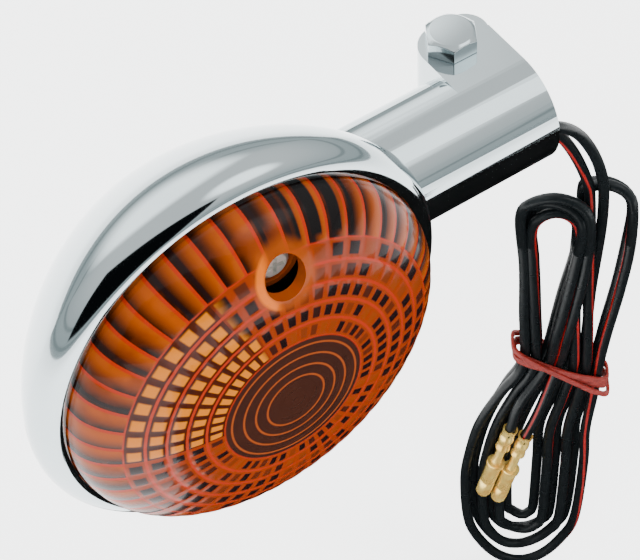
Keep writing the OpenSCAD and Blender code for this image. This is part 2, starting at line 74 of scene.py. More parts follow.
class Sum:
    """A shader socket that takes part in Python sums: each sum adds one Math node."""

    def __init__(self, finish, socket):
        self.finish = finish
        self.socket = socket

    def math(self, operation, *values):
        return self.finish.add("ShaderNodeMath", {"operation": operation}, values)

    def __add__(self, other):
        return self.math("ADD", self, other)

    __radd__ = __add__

    def __sub__(self, other):
        return self.math("SUBTRACT", self, other)

    def __rsub__(self, other):
        return self.math("SUBTRACT", other, self)

    def __mul__(self, other):
        return self.math("MULTIPLY", self, other)

    __rmul__ = __mul__

    def __truediv__(self, other):
        return self.math("DIVIDE", self, other)

    def __rtruediv__(self, other):
        return self.math("DIVIDE", other, self)

    def __pow__(self, other):
        return self.math("POWER", self, other)

    def __gt__(self, other):
        return self.math("GREATER_THAN", self, other)

    def sin(self):
        return self.math("SINE", self)

    def fraction(self):
        return self.math("FRACT", self)

    def size(self):
        return self.math("ABSOLUTE", self)

    def step(self, low, high):
        """0 below low, 1 above high, and smooth in between."""
        settings = {"interpolation_type": "SMOOTHSTEP"}
        values = {0: self, 1: low, 2: high, 3: 0.0, 4: 1.0}
        return self.finish.add("ShaderNodeMapRange", settings, values)


class Finish:
    """A material: its Principled shader takes the constants, and add puts in any other node."""

    def __init__(self, name, **constants):
        self.material = bpy.data.materials.new(name)
        self.material.use_nodes = True
        self.tree = self.material.node_tree
        self.shader = self.tree.nodes["Principled BSDF"]
        for key, value in constants.items():
            self.shader.inputs[key.replace("_", " ")].default_value = value

    def add(self, kind, settings=(), inputs=(), out=0):
        node = self.tree.nodes.new(kind)
        for key, value in dict(settings).items():
            setattr(node, key, value)
        for key, value in inputs.items() if isinstance(inputs, dict) else enumerate(inputs):
            if isinstance(value, Sum):
                self.tree.links.new(value.socket, node.inputs[key])
            else:
                node.inputs[key].default_value = value
        return Sum(self, node.outputs[out])

    def place(self):
        """The point on the object, as a vector."""
        return self.add("ShaderNodeTexCoord", out="Object")

    def parts(self, vector):
        """The three numbers of a vector."""
        first = self.add("ShaderNodeSeparateXYZ", (), [vector])
        return [Sum(self, first.socket.node.outputs[i]) for i in range(3)]

    def noise(self, scale, detail=3.0, stretch=None):
        """Cloudy noise from 0 to 1, with this many spots a metre."""
        where = self.place()
        if stretch:
            where = self.add("ShaderNodeMapping", (), {"Vector": where, "Scale": stretch})
        return self.add("ShaderNodeTexNoise", (), {"Vector": where, "Scale": scale, "Detail": detail})

    def mix(self, factor, a, b):
        """Colour a where the factor is 0, and colour b where it is 1."""
        colours = [c if isinstance(c, Sum) else (*c, 1) for c in (a, b)]
        settings = {"data_type": "RGBA"}
        return self.add("ShaderNodeMix", settings, {0: factor, 6: colours[0], 7: colours[1]}, 2)

    def link(self, socket, value):
        self.tree.links.new(value.socket, self.shader.inputs[socket])

    def bump(self, height, depth, strength=1.0):
        """Raises the surface by the height times the depth in metres."""
        values = {"Height": height, "Distance": depth, "Strength": strength}
        self.link("Normal", self.add("ShaderNodeBump", (), values))


def shell(name, *sheets, weld=1e-6, sharp=32):
    """One object of grids of points (rows, columns, 3): each point joins the next of its row and
    column, and a wrapped direction closes on itself. Poles and seams are welded, and the faces
    are turned outwards. Edges sharper than the angle stay crisp."""
    points, faces, start = [], [], 0
    for grid, wrap_rows, wrap_columns in sheets:
        rows, columns = grid.shape[:2]
        i, j = np.meshgrid(np.arange(rows - (not wrap_rows)),
                           np.arange(columns - (not wrap_columns)), indexing="ij")
        below, beside = (i + 1) % rows, (j + 1) % columns
        corners = np.stack([i * columns + j, i * columns + beside,
                            below * columns + beside, below * columns + j], -1)
        points.append(grid.reshape(-1, 3))
        faces.append(corners.reshape(-1, 4) + start)
        start += rows * columns
    mesh = bpy.data.meshes.new(name)
    mesh.from_pydata(np.concatenate(points), [], np.concatenate(faces).tolist())
    work = bmesh.new()
    work.from_mesh(mesh)
    bmesh.ops.remove_doubles(work, verts=work.verts, dist=weld)
    bmesh.ops.holes_fill(work, edges=[e for e in work.edges if e.is_boundary], sides=0)
    bmesh.ops.recalc_face_normals(work, faces=work.faces)
    work.to_mesh(mesh)
    work.free()
    mesh.shade_smooth()
    mesh.set_sharp_from_angle(angle=math.radians(sharp))
    piece = bpy.data.objects.new(name, mesh)
    bpy.context.scene.collection.objects.link(piece)
    return piece


def fit(piece, finish, slot, body, *replaced):
    """Gives a piece its finish, its body and the CAD nodes that it stands for."""
    piece.data.materials.clear()
    piece.data.materials.append(finish.material)
    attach(piece, body)
    if replaced:
        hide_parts(*replaced)


def smooth_path(points, spacing):
    """A Catmull-Rom curve through the points, taken again at even spacing."""
    p = np.asarray(points, float)
    p = np.concatenate([[2 * p[0] - p[1]], p, [2 * p[-1] - p[-2]]])
    a, b, c, d = (p[k:len(p) - 3 + k, None] for k in range(4))
    t = np.linspace(0, 1, 24, endpoint=False)[None, :, None]
    fine = 0.5 * (2 * b + (c - a) * t + (2 * a - 5 * b + 4 * c - d) * t**2
                  + (3 * b - a - 3 * c + d) * t**3)
    fine = np.concatenate([fine.reshape(-1, p.shape[1]), p[-2:-1]])
    run = np.concatenate([[0], np.cumsum(np.linalg.norm(np.diff(fine, axis=0), axis=1))])
    even = np.linspace(0, run[-1], int(run[-1] / spacing) + 2)
    return np.stack([np.interp(even, run, fine[:, k]) for k in range(p.shape[1])], -1)


def along(path):
    """Two unit vectors across the path at each of its points, carried along without twist."""
    forward = np.gradient(path, axis=0)
    forward /= np.linalg.norm(forward, axis=1, keepdims=True)
    across = np.zeros_like(path)
    last = np.array([0.2, 0.3, 1.0])
    for k, f in enumerate(forward):
        last = last - f * (last @ f)
        last /= np.linalg.norm(last)
        across[k] = last
    return across, np.cross(forward, across)


def tube(name, path, radius, sides):
    """A round tube along a path, closed at both ends: rings of this many points."""
    across, beside = along(path)
    turn = np.linspace(0, 2 * np.pi, sides, endpoint=False)[None, :, None]
    rings = path[:, None] + radius * (np.cos(turn) * across[:, None] + np.sin(turn) * beside[:, None])
    return shell(name, (rings, False, True), weld=1e-8, sharp=60)


lead_d = 2.6
lead_sides = 14
tracer_twist = 0.004                       # turns of the tracer about the lead, from ring to ring
crimp_bite = 3                             # how far a lead runs into its crimp
hank_x = 24
hank_turn = math.radians(-34.3)
hank_side = np.array([math.cos(hank_turn), math.sin(hank_turn), 0])
hank_front = np.array([math.sin(hank_turn), -math.cos(hank_turn), 0])
terminal_depth = 5.25                      # the terminals lie on the hank's front
terminal_lean = math.radians(13.5)
terminal_way = np.array([-math.sin(terminal_lean), -math.cos(terminal_lean), 0])
collars = {"black": (-22.1, -139.9), "tracer": (-18.3, -142.7)}
crimp_top = 15.2                           # from a terminal's collar to the mouth of its crimp
routes = {
    "black": [[0, -1.4, -9.5], [5, -1.4, -9.8], [10, -1.3, -13], [14.5, -1, -18],
              [18, -0.8, -24], [21, -0.6, -31], [23, -0.6, -38], [23.8, -0.6, -44]],
    "tracer": [[0, 1.4, -9.5], [4, 1.4, -10], [8, 1.4, -13.6], [11.5, 1.4, -18.5],
               [15, 1.4, -25], [18, 1.5, -32], [20.3, 1.6, -38.5], [21.6, 1.6, -44]],
}


def hank_point(points):
    """Points given across, up and out of the hank's flat side, in the part's frame."""
    p = np.atleast_2d(np.asarray(points, float))
    return (np.array([hank_x, 0, 0]) + p[:, :1] * hank_side + p[:, 2:] * hank_front
            + p[:, 1:2] * np.array([0, 0, 1]))


def arch(centre, radius, height, depths, steps=5):
    """Points over a fold from its left to its right, moving from the first depth to the last."""
    a = np.linspace(np.pi, 0, steps)
    return np.stack([centre[0] + radius * np.cos(a), centre[1] + height * np.sin(a),
                     np.linspace(*depths, steps)], -1)


def lower_loop(lane, layer, inner_up):
    """One pass down the right side, round the bottom and up the left, in lane 0 outside to 5
    inside. The layers alternate, so neighbours overlap without touching."""
    pair, odd = divmod(lane, 2)
    waist_right = 2.3 - 3.0 * pair - 0.6 * odd
    waist_left = -15.9 + 2.7 * pair + 0.5 * odd + (2.4 if lane == 5 else 0)
    up_layer = -1.35 if inner_up else layer
    right, left = 0.5 - 2.3 * lane, -29.3 + 2.2 * lane
    bottom, drop = -188.7 + 3.4 * lane, 29.7 - 4.7 * lane
    a = np.linspace(0, -np.pi, 9)[1:-1]
    middle, reach_x = (right + left) / 2, (right - left) / 2
    round_bottom = np.stack([middle + reach_x * np.cos(a), bottom + drop * (1 + np.sin(a)),
                             layer + 0.5 * np.sin(a * 3 + lane)], -1)
    return [[waist_right, -104, layer], [0.55 * waist_right + 0.45 * (0.4 - 2.2 * lane), -117, layer],
            [0.3 - 2.2 * lane, -131, layer], [right, -146, layer], *round_bottom.tolist(),
            [left, -152, layer], [left + 1.2, -139, layer], [left + 3.6, -127, layer],
            [0.5 * waist_left + 0.5 * (left + 3.6), -115, (layer + up_layer) / 2],
            [waist_left, -104, up_layer]]


def lead_path(name):
    """The lead from the clamp to its terminal: down, then round by both folds at the top."""
    live = name == "tracer"
    layer = 1.35 if live else -1.35
    lane = 0 if live else 1
    shift = 0.0 if live else 0.5
    deep = -3.95 if live else -6.5
    start = [[-2.2, -57, 1.0], [-1.5, -80, 1.35]] if live else [[0.4, -57, -0.6], [-0.7, -80, -1.35]]
    inner_fold = [[-13.9 + shift, -84, layer], [-14.9 + shift, -67, layer],
                  *arch((-10.2, -55.5 - shift), 5.2, 6.5, (layer, layer)),
                  [-5.0, -66, layer], [-4.3 - shift, -84, layer]]
    back_fold = [[-7.2 if live else -5.0, -84, -3.7 if live else -3.9],
                 [-4.4 if live else -3.2, -66, (deep - 3.95) / 2],
                 *arch((1.6, -49 - 2 * shift), 5.35, 5.4, (deep, 0.4 * layer)),
                 [7.0 - shift, -62, layer], [5.6 - shift, -77, layer], [3.6 - shift, -92, layer]]
    outer_fold = [[-16.3 + shift, -84, layer], [-16.8 + shift, -67, layer],
                  *arch((-10.4, -50.5 - 1.6 * (not live)), 7.7 - 3.2 * shift, 7.8 - 3.2 * shift,
                        (layer, 3.95)),
                  [-2.9 - 4.8 * shift, -64, 3.95], [-4.6 - 5.2 * shift, -80, 3.95],
                  [-6.1 - 5.2 * shift, -92, 3.4], [-7.4 - 5.2 * shift, -104, 1.6]]
    collar = np.array([*collars[name], terminal_depth])
    mouth = collar - terminal_way * crimp_top
    end = [[*(mouth - terminal_way * 9 + np.array([1.0 * live, 0, -1.2]))], [*mouth],
           [*(mouth + terminal_way * crimp_bite)]]
    hank = [*start, *lower_loop(lane + 2, layer, False), *inner_fold,
            *lower_loop(lane + 4, layer, True), *back_fold, *lower_loop(lane, layer, False),
            *outer_fold, *end]
    return smooth_path(np.concatenate([routes[name], hank_point(hank)]), 1.3) * MM


def lead_finish(name, live):
    """Semi-gloss PVC with a faint drag from the extruder; the live lead has its red tracer."""
    pvc = Finish(name, Specular_IOR_Level=0.22)
    dust = pvc.noise(900, 4)
    colour = pvc.mix(dust, (0.002, 0.003, 0.0035), (0.006, 0.008, 0.009))
    if live:
        turn = pvc.add("ShaderNodeAttribute", {"attribute_name": "round"}, out="Fac")
        stripe = 1 - turn.step(0.035, 0.045)
        colour = pvc.mix(stripe, colour, (0.22, 0.005, 0.004))
    pvc.link("Base Color", colour)
    pvc.link("Roughness", 0.2 + 0.2 * pvc.noise(400, 2))
    pvc.bump(pvc.noise(2500, 2), 0.00006)
    return pvc


leads = {}
for name in routes:
    path = lead_path(name)
    leads[name] = (tube(name + "_lead", path, lead_d / 2 * MM, lead_sides), path)
    piece = leads[name][0]
    # The attribute round is how far round the lead a point lies, from 0 on the tracer to 0.5
    ring, spot = np.divmod(np.arange(len(piece.data.vertices)), lead_sides)
    share = np.abs((spot / lead_sides + ring * tracer_twist) % 1 - 0.5)
    mark = piece.data.attributes.new("round", "FLOAT", "POINT")
    mark.data.foreach_set("value", share.astype(np.float32))
    fit(piece, lead_finish("pvc_" + name, name == "tracer"),
        "tracer_insulation" if name == "tracer" else "black_insulation", "root",
        "lead_" + name, "wire_hank")

# ---------------------------------------------------------------- bullet terminals
# Brass bullet terminals, turned in one with their open crimps. The nose is round, a collar
# stops it in its socket, and the crimp's wings are folded down on the lead.
brass = Finish("bright_brass", Metallic=0.7)
tarnish = brass.noise(350, 4)
brass.link("Base Color", brass.mix(tarnish.step(0.35, 0.75), (1.0, 0.72, 0.2), (0.83, 0.45, 0.09)))
brass.link("Roughness", 0.12 + 0.22 * tarnish)
brass.bump(brass.noise(3000, 2), 0.00004)


def turned_profile(stations, steps=20):
    """A turned piece about its own line: rows of (distance along, radius), round the line."""
    turn = np.linspace(0, 2 * np.pi, steps, endpoint=False)
    s = np.asarray(stations, float)
    return np.stack([np.outer(s[:, 1], np.cos(turn)), np.outer(s[:, 1], np.sin(turn)),
                     np.repeat(s[:, :1], steps, 1)], -1)


pin_l, pin_r = 13, 1.95
nose = [(pin_l - pin_r + pin_r * math.sin(a), pin_r * math.cos(a)) for a in np.linspace(0, math.pi / 2, 8)]
barrel = [(-9.6, 0.0), (-9.6, 1.0), (-6.4, 1.15), (-2.6, 1.2), (-1.25, 1.45), (-1.2, 2.25),
          (-1.05, 2.3), (-0.15, 2.3), (0, 2.2), (0.05, 1.9), (0.5, pin_r), (6.2, pin_r), (6.4, 1.83),
          (7.0, 1.83), (7.2, pin_r), *nose]
crimp_rows = np.linspace(-crimp_top, -7.6, 12)
for name, collar in collars.items():
    axis = hank_side * terminal_way[0] + np.array([0, 0, 1]) * terminal_way[1]
    out = hank_front
    across = np.cross(out, axis)
    to_place = np.array([across, out, axis])
    origin = hank_point([[*collar, terminal_depth]])[0]
    turn = np.linspace(0, 2 * np.pi, 28)[:-1] + np.pi / 2 + 0.12
    # The crimp's wall in section: a B shape, where both wings roll in and meet at the front
    wing = 1.75 - 0.42 * np.exp(-((turn[None] - np.pi / 2 + np.pi) % (2 * np.pi) - np.pi) ** 2 / 0.05)
    swell = 1 + 0.08 * np.cos((crimp_rows[:, None] + crimp_top) / 7.6 * 2 * np.pi * 2)
    radius = wing * swell
    outer = np.stack([radius * np.cos(turn), radius * np.sin(turn),
                      np.repeat(crimp_rows[:, None], len(turn), 1)], -1)
    inner = outer[::-1] * np.array([0.78, 0.78, 1])
    crimp = np.concatenate([outer, inner])
    parts = [(turned_profile(barrel) @ to_place + origin, False, True),
             (crimp @ to_place + origin, True, True)]
    bullet = shell("bullet_" + name + "_terminal", *[(g * MM, a, b) for g, a, b in parts])
    fit(bullet, brass, "brass", "root", "bullet_" + name)
    piece, path = leads[name]

# ---------------------------------------------------------------- rubber band
# One red rubber band is wound three times round the hank's waist. Its turns lie slantwise and
# cross at the front, and they bulge a little over the strands.
rubber = Finish("red_rubber", Roughness=0.55, Subsurface_Weight=0.15, Subsurface_Scale=0.002)
worn = rubber.noise(700, 4)
rubber.link("Base Color", rubber.mix(worn, (0.09, 0.004, 0.003), (0.26, 0.016, 0.008)))
rubber.bump(rubber.noise(1800, 3), 0.00015)
band_centre = (-6.8, -103.8)
band_half = (11.1, 3.2)
band_cross = -9.5                          # where the turns cross, across the hank
band_turns = [(-31, 0.0, 1.25), (-22, 0.35, 1.0), (-38, 0.7, 0.9)]  # slant, lift, half width
round_band = np.linspace(0, 2 * np.pi, 97)[:-1, None]
section = np.linspace(0, 2 * np.pi, 13)[None, :-1]
band_sheets = []
for slant, lift, half_width in band_turns:
    cosine, sine = np.cos(round_band), np.sin(round_band)
    ripple = 0.12 * np.cos(round_band * 11 + slant)
    out = 1 + (lift + ripple) / 8
    h = band_centre[0] + (band_half[0] + lift) * np.sign(cosine) * np.abs(cosine) ** 0.5
    d = (band_half[1] * out + lift) * np.sign(sine) * np.abs(sine) ** 0.5
    rise = (h - band_cross) * math.tan(math.radians(slant))
    thick = 0.38 * np.sign(np.sin(section)) * np.abs(np.sin(section)) ** 0.6
    wide = half_width * np.sign(np.cos(section)) * np.abs(np.cos(section)) ** 0.6
    spread = np.sign(h - band_centre[0]) * np.abs((h - band_centre[0]) / 11.5) ** 6
    grid = np.stack([h + thick * spread, band_centre[1] + rise + wide + 0 * thick,
                     d + thick * np.clip(sine * 3, -1, 1)], -1)
    band_sheets.append((hank_point(grid.reshape(-1, 3)).reshape(grid.shape) * MM, True, True))
band = shell("rubber_band", *band_sheets)
fit(band, rubber, "red_rubber", "root", "hank_band")

# ---------------------------------------------------------------- bowl
# The bowl is die cast in zinc, polished and chromed. A round bezel runs from the lens's mouth to
# the widest part, and behind it the side draws in to a round nose. Its posts, the stem's seat and
# the bores behind the reflector are left out here.
chrome_colour = (0.53, 0.59, 0.605)


def chrome_finish(name, rough=0.05):
    """Bright chrome over a polished casting: faint waves, and hairlines from wiping."""
    chrome = Finish(name, Metallic=1.0)
    haze = chrome.noise(60, 4)
    chrome.link("Base Color", chrome.mix(haze, (0.46, 0.52, 0.54), chrome_colour))
    hairs = chrome.noise(900, 2, stretch=(1, 14, 1))
    chrome.link("Roughness", rough + 0.05 * haze + 0.05 * hairs.step(0.6, 0.8))
    chrome.bump(chrome.noise(45, 2), 0.0001, 0.35)
    return chrome


reach = 80.3
lens_r, rim_h, wide_h, bowl_r = 40, 20.5, 15, 45
mouth_r, lip_w, ledge_r, ledge_h, ledge_t = 40.15, 0.8, 37, 16.5, 3
bowl_rear, fullness, nose_r, bowl_wall = 35.8, 1.523, 20, 2.2


def head_point(r, h, a):
    """A point of the head, given its radius, its height towards the lens and its angle."""
    return np.stack([-reach + r * np.cos(a), -h + 0 * a, r * np.sin(a)], -1)


def spun(profile, steps=192):
    """A profile of (radius, height) turned about the head's axis."""
    r, h = np.asarray(profile, float).T[:, :, None]
    return head_point(r, h, np.linspace(0, 2 * np.pi, steps, endpoint=False)[None]) * MM


def bowl_side(r, depth, steps):
    """The superellipse of the bowl's side, then the arc of its round nose, as (radius, height)."""
    a1 = math.acos((nose_r / r) ** (fullness / 2))
    a = np.linspace(0, a1, steps)
    side_line = np.stack([r * np.cos(a) ** (2 / fullness),
                          wide_h - depth * np.sin(a) ** (2 / fullness)], -1)
    d1 = depth * math.sin(a1) ** (2 / fullness)
    lean = (nose_r / r) ** (fullness - 1) / r
    tip = (d1 / depth) ** (fullness - 1) / depth
    ball = nose_r * math.hypot(lean, tip) / lean
    a2 = math.asin(nose_r / ball)
    b = np.linspace(a2, 0, 18)[1:]
    nose_line = np.stack([ball * np.sin(b), wide_h - d1 - ball * (np.cos(b) - math.cos(a2))], -1)
    return np.concatenate([side_line, nose_line])


quarter = np.linspace(0, np.pi / 2, 26)
lip_out = mouth_r + lip_w
bezel = np.stack([lip_out + (bowl_r - lip_out) * np.sin(quarter),
                  wide_h + (rim_h - wide_h) * np.cos(quarter)], -1)
inside = bowl_side(bowl_r - bowl_wall, bowl_rear - bowl_wall, 30)
inside = inside[inside[:, 1] < ledge_h - ledge_t - 1.5]
bowl_profile = [*bowl_side(bowl_r, bowl_rear, 70)[::-1].tolist()[:-1], *bezel[::-1].tolist(),
                (lip_out - 0.25, rim_h + 0.02), (mouth_r + 0.15, rim_h), (mouth_r, rim_h - 0.15),
                (mouth_r, ledge_h), (ledge_r, ledge_h), (ledge_r, ledge_h - ledge_t),
                *inside.tolist()]
bowl = shell("chrome_bowl", (spun(bowl_profile), False, True))
fit(bowl, chrome_finish("bowl_chrome"), "bowl_chrome", "root", "bowl")

# ---------------------------------------------------------------- stem
# The stem is cast with its clamp ear, then bored, slit, polished and chromed. Its foot is cut to
# the bowl's back, and its edges are softened by the polishing.


def worked(node, name, bevel, sharp=30):
    """A CAD node's own form with its faces joined, and its edges broken by a small round."""
    mesh = nodes[node].data.copy()
    mesh.name = name
    work = bmesh.new()
    work.from_mesh(mesh)
    bmesh.ops.remove_doubles(work, verts=work.verts, dist=2e-6)
    bmesh.ops.dissolve_limit(work, angle_limit=math.radians(0.6), verts=work.verts, edges=work.edges)
    work.to_mesh(mesh)
    work.free()
    mesh.shade_smooth()
    mesh.set_sharp_from_angle(angle=math.radians(sharp))
    piece = bpy.data.objects.new(name, mesh)
    bpy.context.scene.collection.objects.link(piece)
    edge = piece.modifiers.new("broken_edges", "BEVEL")
    edge.width = bevel * MM
    edge.segments = 3
    edge.limit_method = "ANGLE"
    edge.angle_limit = math.radians(sharp)
    edge.harden_normals = True
    return piece


stem = worked("stem", "chrome_stem", 0.35)
fit(stem, chrome_finish("stem_chrome"), "stem_chrome", "root", "stem")

# ---------------------------------------------------------------- pinch bolt
# A plated M6 hexagon bolt runs down through the clamp ear. Its head has a turned chamfer.
bolt = worked("pinch_bolt", "hexagon_bolt", 0.12)
fit(bolt, chrome_finish("bolt_chrome", 0.1), "bolt_chrome", "bolt", "pinch_bolt")

# ---------------------------------------------------------------- lens
# The lens is moulded in amber acrylic. Flutes run round its edge, rings of small pillows lie
# inside them, and a bull's-eye of fine rings lies in the middle. The screw sits in a deep well.
flutes = 48
flute_r = 34                               # where the flutes end and the pillows start
eye_r = 15.1
pillow_rings = 5
eye_rings = 6
relief = 0.16
dome_h, dome_fullness, lens_wall, lens_h = 15.8, 2.3, 2.4, 18.1
post_reach, post_angle = 30, math.radians(86)
well_r, well_floor, well_wall, shelf_h, sheet_t = 4.2, 26, 1.5, 14, 0.8


def dome(r, radius, height):
    """The superellipse of the dome, as heights over the radii."""
    return rim_h + height * (1 - np.clip(r / radius, 0, 1) ** dome_fullness) ** (1 / dome_fullness)


def lens_relief(r, a):
    """Flutes outside, pillows in rings, and a bull's-eye of fine rings in the middle."""
    flute = np.abs(np.sin(a * flutes / 2)) ** 0.7
    ring = (r - eye_r) / (flute_r - eye_r) * pillow_rings
    pillow = flute * np.abs(np.sin(np.pi * ring)) ** 0.7
    eye = np.abs(np.sin(np.pi * r / eye_r * eye_rings)) ** 0.8
    edge = np.clip((lens_r - r) / 1.2, 0, 1)
    near_post = np.hypot(r * np.cos(a) - post_reach * math.cos(post_angle),
                         r * np.sin(a) - post_reach * math.sin(post_angle))
    calm = np.clip((near_post - well_r - 0.6) / 1.5, 0, 1)
    form = np.where(r > flute_r, flute, np.where(r > eye_r, pillow, 0.6 * eye))
    return -relief * (1 - form) * edge * calm


turn = np.linspace(0, 2 * np.pi, 384, endpoint=False)[None]
steep_share = 0.07                         # the outermost part of the radius, where the dome is steep
steep = 1 - steep_share * np.cos(np.linspace(0, np.pi / 2, 14))[1:] ** 2
r = lens_r * np.concatenate([np.linspace(0, 1 - steep_share, 96), steep])[:, None]
top = head_point(r + 0 * turn, dome(r, lens_r, dome_h) + lens_relief(r, turn), turn)
skirt = head_point(np.array([[lens_r], [lens_r]]) + 0 * turn, np.array([[rim_h - 0.8], [lens_h]]), turn)
inner_r = (lens_r - lens_wall) * np.sin(np.linspace(np.pi / 2, 0, 26))[:, None]
under = head_point(inner_r + 0 * turn, dome(inner_r, lens_r - lens_wall, dome_h - lens_wall), turn)
under_foot = head_point(np.full((1, 1), lens_r - lens_wall) + 0 * turn, np.full((1, 1), lens_h), turn)
lens = shell("amber_lens", (np.concatenate([top, skirt, under_foot, under]) * MM, False, True), sharp=50)


def post_spun(profile, steps=40):
    """A profile of (radius, height) turned about the lens screw's line."""
    r, h = np.asarray(profile, float).T[:, :, None]
    a = np.linspace(0, 2 * np.pi, steps, endpoint=False)[None]
    x = post_reach * math.cos(post_angle) + r * np.cos(a)
    z = post_reach * math.sin(post_angle) + r * np.sin(a)
    return np.stack([-reach + x, -h + 0 * a, z], -1) * MM


cutter = shell("well_cutter", (post_spun([(0, well_floor - 0.7), (well_r, well_floor - 0.7),
                                          (well_r + 0.25, 60), (0, 60)]), False, True))
cut = lens.modifiers.new("well", "BOOLEAN")
cut.object = cutter
cut.solver = "EXACT"
bpy.context.view_layer.update()
shaped = bpy.data.meshes.new_from_object(lens.evaluated_get(bpy.context.evaluated_depsgraph_get()))
lens.modifiers.clear()
lens.data = shaped
bpy.data.objects.remove(cutter)
post_top = dome(np.array([post_reach + well_r]), lens_r - lens_wall, dome_h - lens_wall)[0]
screw_bore_r, post_r = 1.81, 3.9
post_foot = shelf_h + sheet_t + 0.4
cup = [(screw_bore_r, well_floor), (well_r - 0.3, well_floor), (well_r, well_floor + 0.3),
       (well_r + 0.1, post_top + 0.8), (well_r + well_wall, post_top + 0.6),
       (well_r + well_wall, well_floor - well_wall), (post_r, well_floor - well_wall),
       (post_r, post_foot), (screw_bore_r, post_foot)]
well = shell("well_cup", (post_spun(cup + cup[:1])[:-1], True, True))
tongue_w, tongue_out, tongue_in = 3, -36.6, -34.6  # half its width, and its two faces up the head
block = np.array([[-tongue_w, tongue_out], [tongue_w, tongue_out],
                  [tongue_w, tongue_in], [-tongue_w, tongue_in]])
tongue = np.stack([np.stack([-reach + block[:, 0], np.full(4, -h), block[:, 1]], -1)
                   for h in (lens_h + 3, lens_h - 5)]) * MM
tongue = shell("locating_tongue", (tongue, False, True))
with bpy.context.temp_override(active_object=lens, selected_editable_objects=[lens, well, tongue]):
    bpy.ops.object.join()
lens.data.shade_smooth()
lens.data.set_sharp_from_angle(angle=math.radians(40))

amber = Finish("amber_acrylic", Roughness=0.25, Coat_Weight=0.15, Coat_Roughness=0.03, IOR=1.49,
               Specular_IOR_Level=0.06)
x, _, z = amber.parts(amber.place())
x = x * 1000 + reach
z = z * 1000
radius = (x * x + z * z) ** 0.5
angle = z.math("ARCTAN2", z, x)
cell = (angle * (flutes / (2 * math.pi)) + flutes).fraction()
ring = (radius - eye_r) * (pillow_rings / (flute_r - eye_r))
cell_up = ring.fraction()
drift = amber.noise(130, 3)
spots = amber.noise(420, 3)
brown, red = (0.01, 0.0025, 0.001), (0.26, 0.014, 0.001)
# The yellow here is only the colour of the painted glow in the lit pillows
orange, painted_glow_yellow = (0.24, 0.04, 0.0002), (0.42, 0.115, 0.0)
# Painted light: the cells on one side are painted brighter, as if the reflector lit the lens from behind
# there
painted_light_side = 1 - (angle - 2.6).size().step(0.45, 1.0)
from_well_x = x - post_reach * math.cos(post_angle)
from_well_z = z - post_reach * math.sin(post_angle)
from_well = (from_well_x * from_well_x + from_well_z * from_well_z) ** 0.5

flute_number = angle * (flutes / (2 * math.pi)) + flutes - cell
# Each flute and each cell gets its own number from 0 to 1, the fraction of a steep sine
flute_step, ring_step, steepness = 12.99, 78.2, 43.7
flute_own = ((flute_number * flute_step).sin() * steepness).fraction()
cell_own = ((flute_number * flute_step + (ring - cell_up) * ring_step).sin() * steepness).fraction()

# Flutes: an orange face with painted shade darkening it towards one side, and a red line where two meet;
# some hold a dark line. Dark bars of painted shade cross the outer flutes at one angle
flute_face = amber.mix((cell + 0.5 * flute_own).step(0.35, 1.15), orange, brown)
flute_face = amber.mix(drift.step(0.5, 0.72) * 0.6, flute_face, (0.1, 0.014, 0.001))
dark_line = (1 - (cell - 0.8).size().step(0.05, 0.13)) * flute_own.step(0.45, 0.6)
flute_face = amber.mix(dark_line, flute_face, (0.008, 0.003, 0.003))
flute_line = 1 - (cell - 0.06).size().step(0.04, 0.12)
flute_colour = amber.mix(flute_line, flute_face, red)
shade_bars = (1 - (angle - 1.2).size().step(0.17, 0.21)) * radius.step(34.5, 35.5)
bar_core = (cell - 0.6).size().step(0.3, 0.2)
flute_colour = amber.mix(shade_bars * bar_core, flute_colour, (0.004, 0.003, 0.003))
# Pillows: on the side with painted light, a painted glowing yellow patch in a dark cell; elsewhere the patch
# is painted dark, as unlit, in a red cell
patch = (1 - (cell - 0.55).size().step(0.24, 0.36)) * (1 - (cell_up - 0.5).size().step(0.24, 0.36))
painted_glow = (painted_light_side * (0.5 + 0.5 * cell_own + 0.5 * drift)).step(0.4, 0.7)
unlit = amber.mix(cell_own.step(0.3, 0.9), (0.008, 0.003, 0.003), (0.15, 0.022, 0.001))
patch_colour = amber.mix(painted_glow, unlit, painted_glow_yellow)
gap_colour = amber.mix(painted_glow, (0.17, 0.018, 0.001), amber.mix(spots, brown, (0.06, 0.008, 0.001)))
pillow_colour = amber.mix(patch, gap_colour, patch_colour)
ring_line = (cell_up - 0.5).size().step(0.4, 0.46)
pillow_colour = amber.mix(ring_line, pillow_colour, red)
# Bull's-eye: dark brown with thin red-brown rings
eye_phase = (radius * (eye_rings / eye_r)).fraction()
eye_line = (1 - (eye_phase - 0.5).size().step(0.03, 0.13)) * radius.step(4.2, 4.8)
eye_colour = amber.mix(eye_line, amber.mix(drift, (0.02, 0.007, 0.005), (0.035, 0.01, 0.005)),
                       (0.2, 0.035, 0.004))
colour = amber.mix(radius.step(eye_r - 0.2, eye_r + 0.2), eye_colour, pillow_colour)
colour = amber.mix(radius.step(flute_r - 0.2, flute_r + 0.2), colour, flute_colour)
# Round the well the amber is plain, with a painted glow along its edge on one side
plain_zone = 1 - from_well.step(5.2, 7.5)
colour = amber.mix(plain_zone * 0.8, colour, amber.mix(drift, (0.15, 0.022, 0.0005), (0.3, 0.055, 0.001)))
painted_edge_glow = (1 - (from_well - 5.2).size().step(0.4, 1.2)) * (-1 * from_well_x).step(1.5, 4)
colour = amber.mix(painted_edge_glow, colour, (0.5, 0.1, 0.0))
amber.link("Base Color", colour)
fit(lens, amber, "amber_lens", "lens_unit", "lens")

# ---------------------------------------------------------------- inner pieces
# Inside are a pressed reflector, a bayonet socket with its spring and contact, and a clear bulb.
# Screws, rivets and shells are zinc plated, and the contacts are brass. Both inner leads are
# plain here, without the tracer.


def plain(name, dark, light, scale, rough, **constants):
    """A finish whose colour and gloss vary in small clouds between two shades."""
    made = Finish(name, **constants)
    cloud = made.noise(scale, 4)
    made.link("Base Color", made.mix(cloud, dark, light))
    made.link("Roughness", rough + 0.15 * cloud)
    made.bump(made.noise(scale * 6, 2), 0.00003)
    return made


